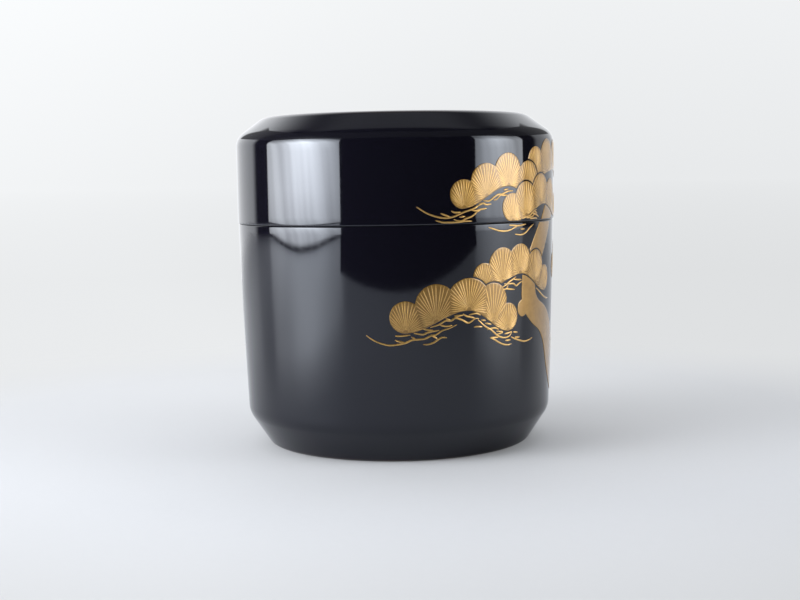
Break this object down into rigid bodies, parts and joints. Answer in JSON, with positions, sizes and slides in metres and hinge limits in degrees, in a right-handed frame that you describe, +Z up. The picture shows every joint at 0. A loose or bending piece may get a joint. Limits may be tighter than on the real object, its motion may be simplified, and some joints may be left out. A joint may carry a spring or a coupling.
{
  "type": "lacquer tea caddy",
  "caption": "Round lidded caddy of black lacquer with bevelled edges, a lid that slips over a raised neck, and a raised gold pine round one side.",
  "frame": {"origin": "middle of the foot, on the surface that the caddy stands on", "axes": "+Z up along the turning axis, towards the lid; -Y towards the front of the picture's view; the pine's trunk is on the +X side"},
  "size_m": [0.0662, 0.066, 0.0678],
  "materials": {
    "lacquer": "black lacquer over turned wood, polished to a mirror gloss",
    "gold": "satin gold powder laid on raised lacquer"
  },
  "bodies": {
    "body": {"caddy_body": "lacquer", "body_pine_left": "gold", "body_pine_upper": "gold", "body_pine_high_right": "gold", "body_pine_right": "gold", "body_trunk_top": "gold", "body_trunk": "gold"},
    "lid": {"lid": "lacquer", "lid_pine_left": "gold", "lid_pine_low": "gold", "lid_pine_crown": "gold", "lid_pine_right": "gold", "lid_trunk": "gold"}
  },
  "joints": [
    {"name": "lid_lift", "type": "slide", "parent": "body", "child": "lid", "axis": [0, 0, 1], "range_m": [0, 0.05]}
  ]
}
